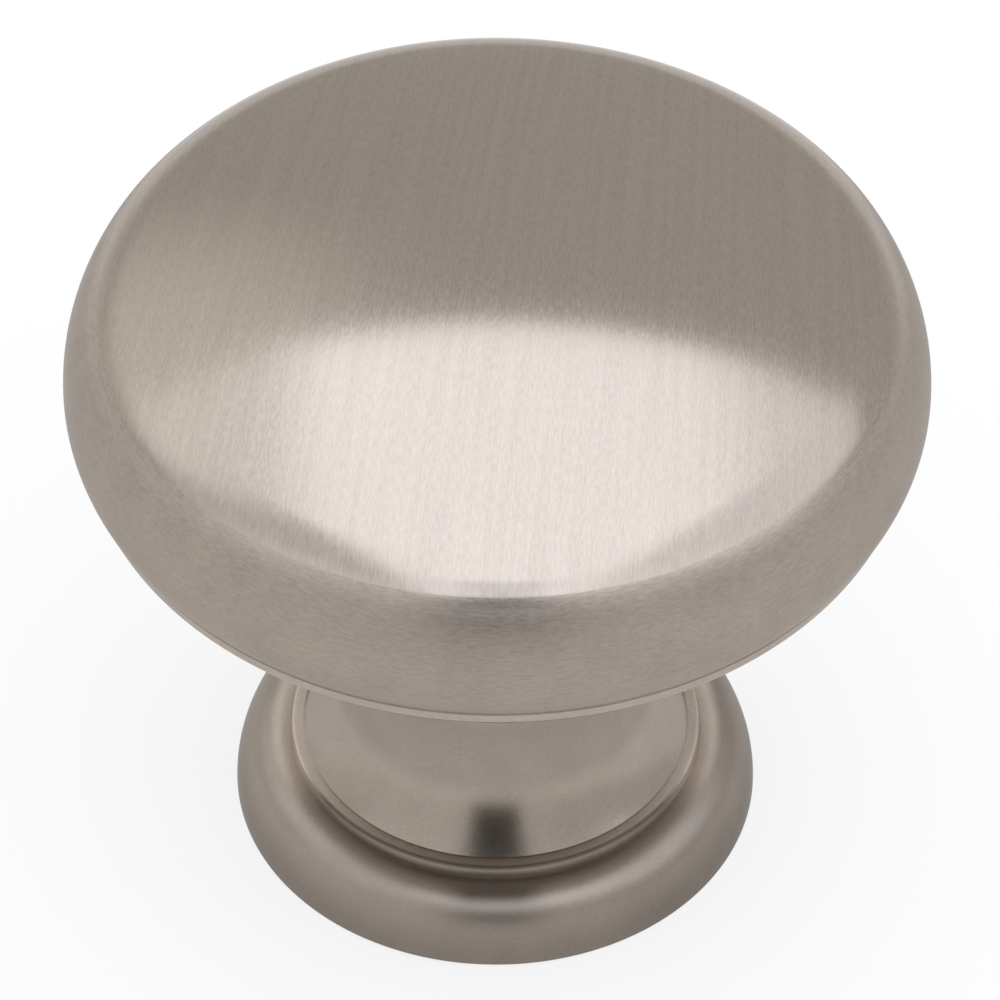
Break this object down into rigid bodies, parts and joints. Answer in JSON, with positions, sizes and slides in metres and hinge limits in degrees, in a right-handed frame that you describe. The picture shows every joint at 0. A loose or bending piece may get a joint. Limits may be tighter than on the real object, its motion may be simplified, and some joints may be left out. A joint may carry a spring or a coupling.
{
  "type": "cabinet knob",
  "caption": "Round cabinet knob in satin nickel: domed head with a rounded rim and fine bead, waisted neck and ringed foot, tapped in the back for its screw.",
  "frame": {"origin": "centre of the back face, in the plane of the seat that meets the cabinet front", "axes": "+Z along the knob's axis, out of the cabinet front; +X and +Y across it"},
  "size_m": [0.032, 0.032, 0.028],
  "materials": {
    "satin_nickel": "warm satin nickel plate over a zinc casting, brushed straight across the face and round the rim"
  },
  "bodies": {
    "root": {"knob_body": "satin_nickel"}
  },
  "joints": []
}
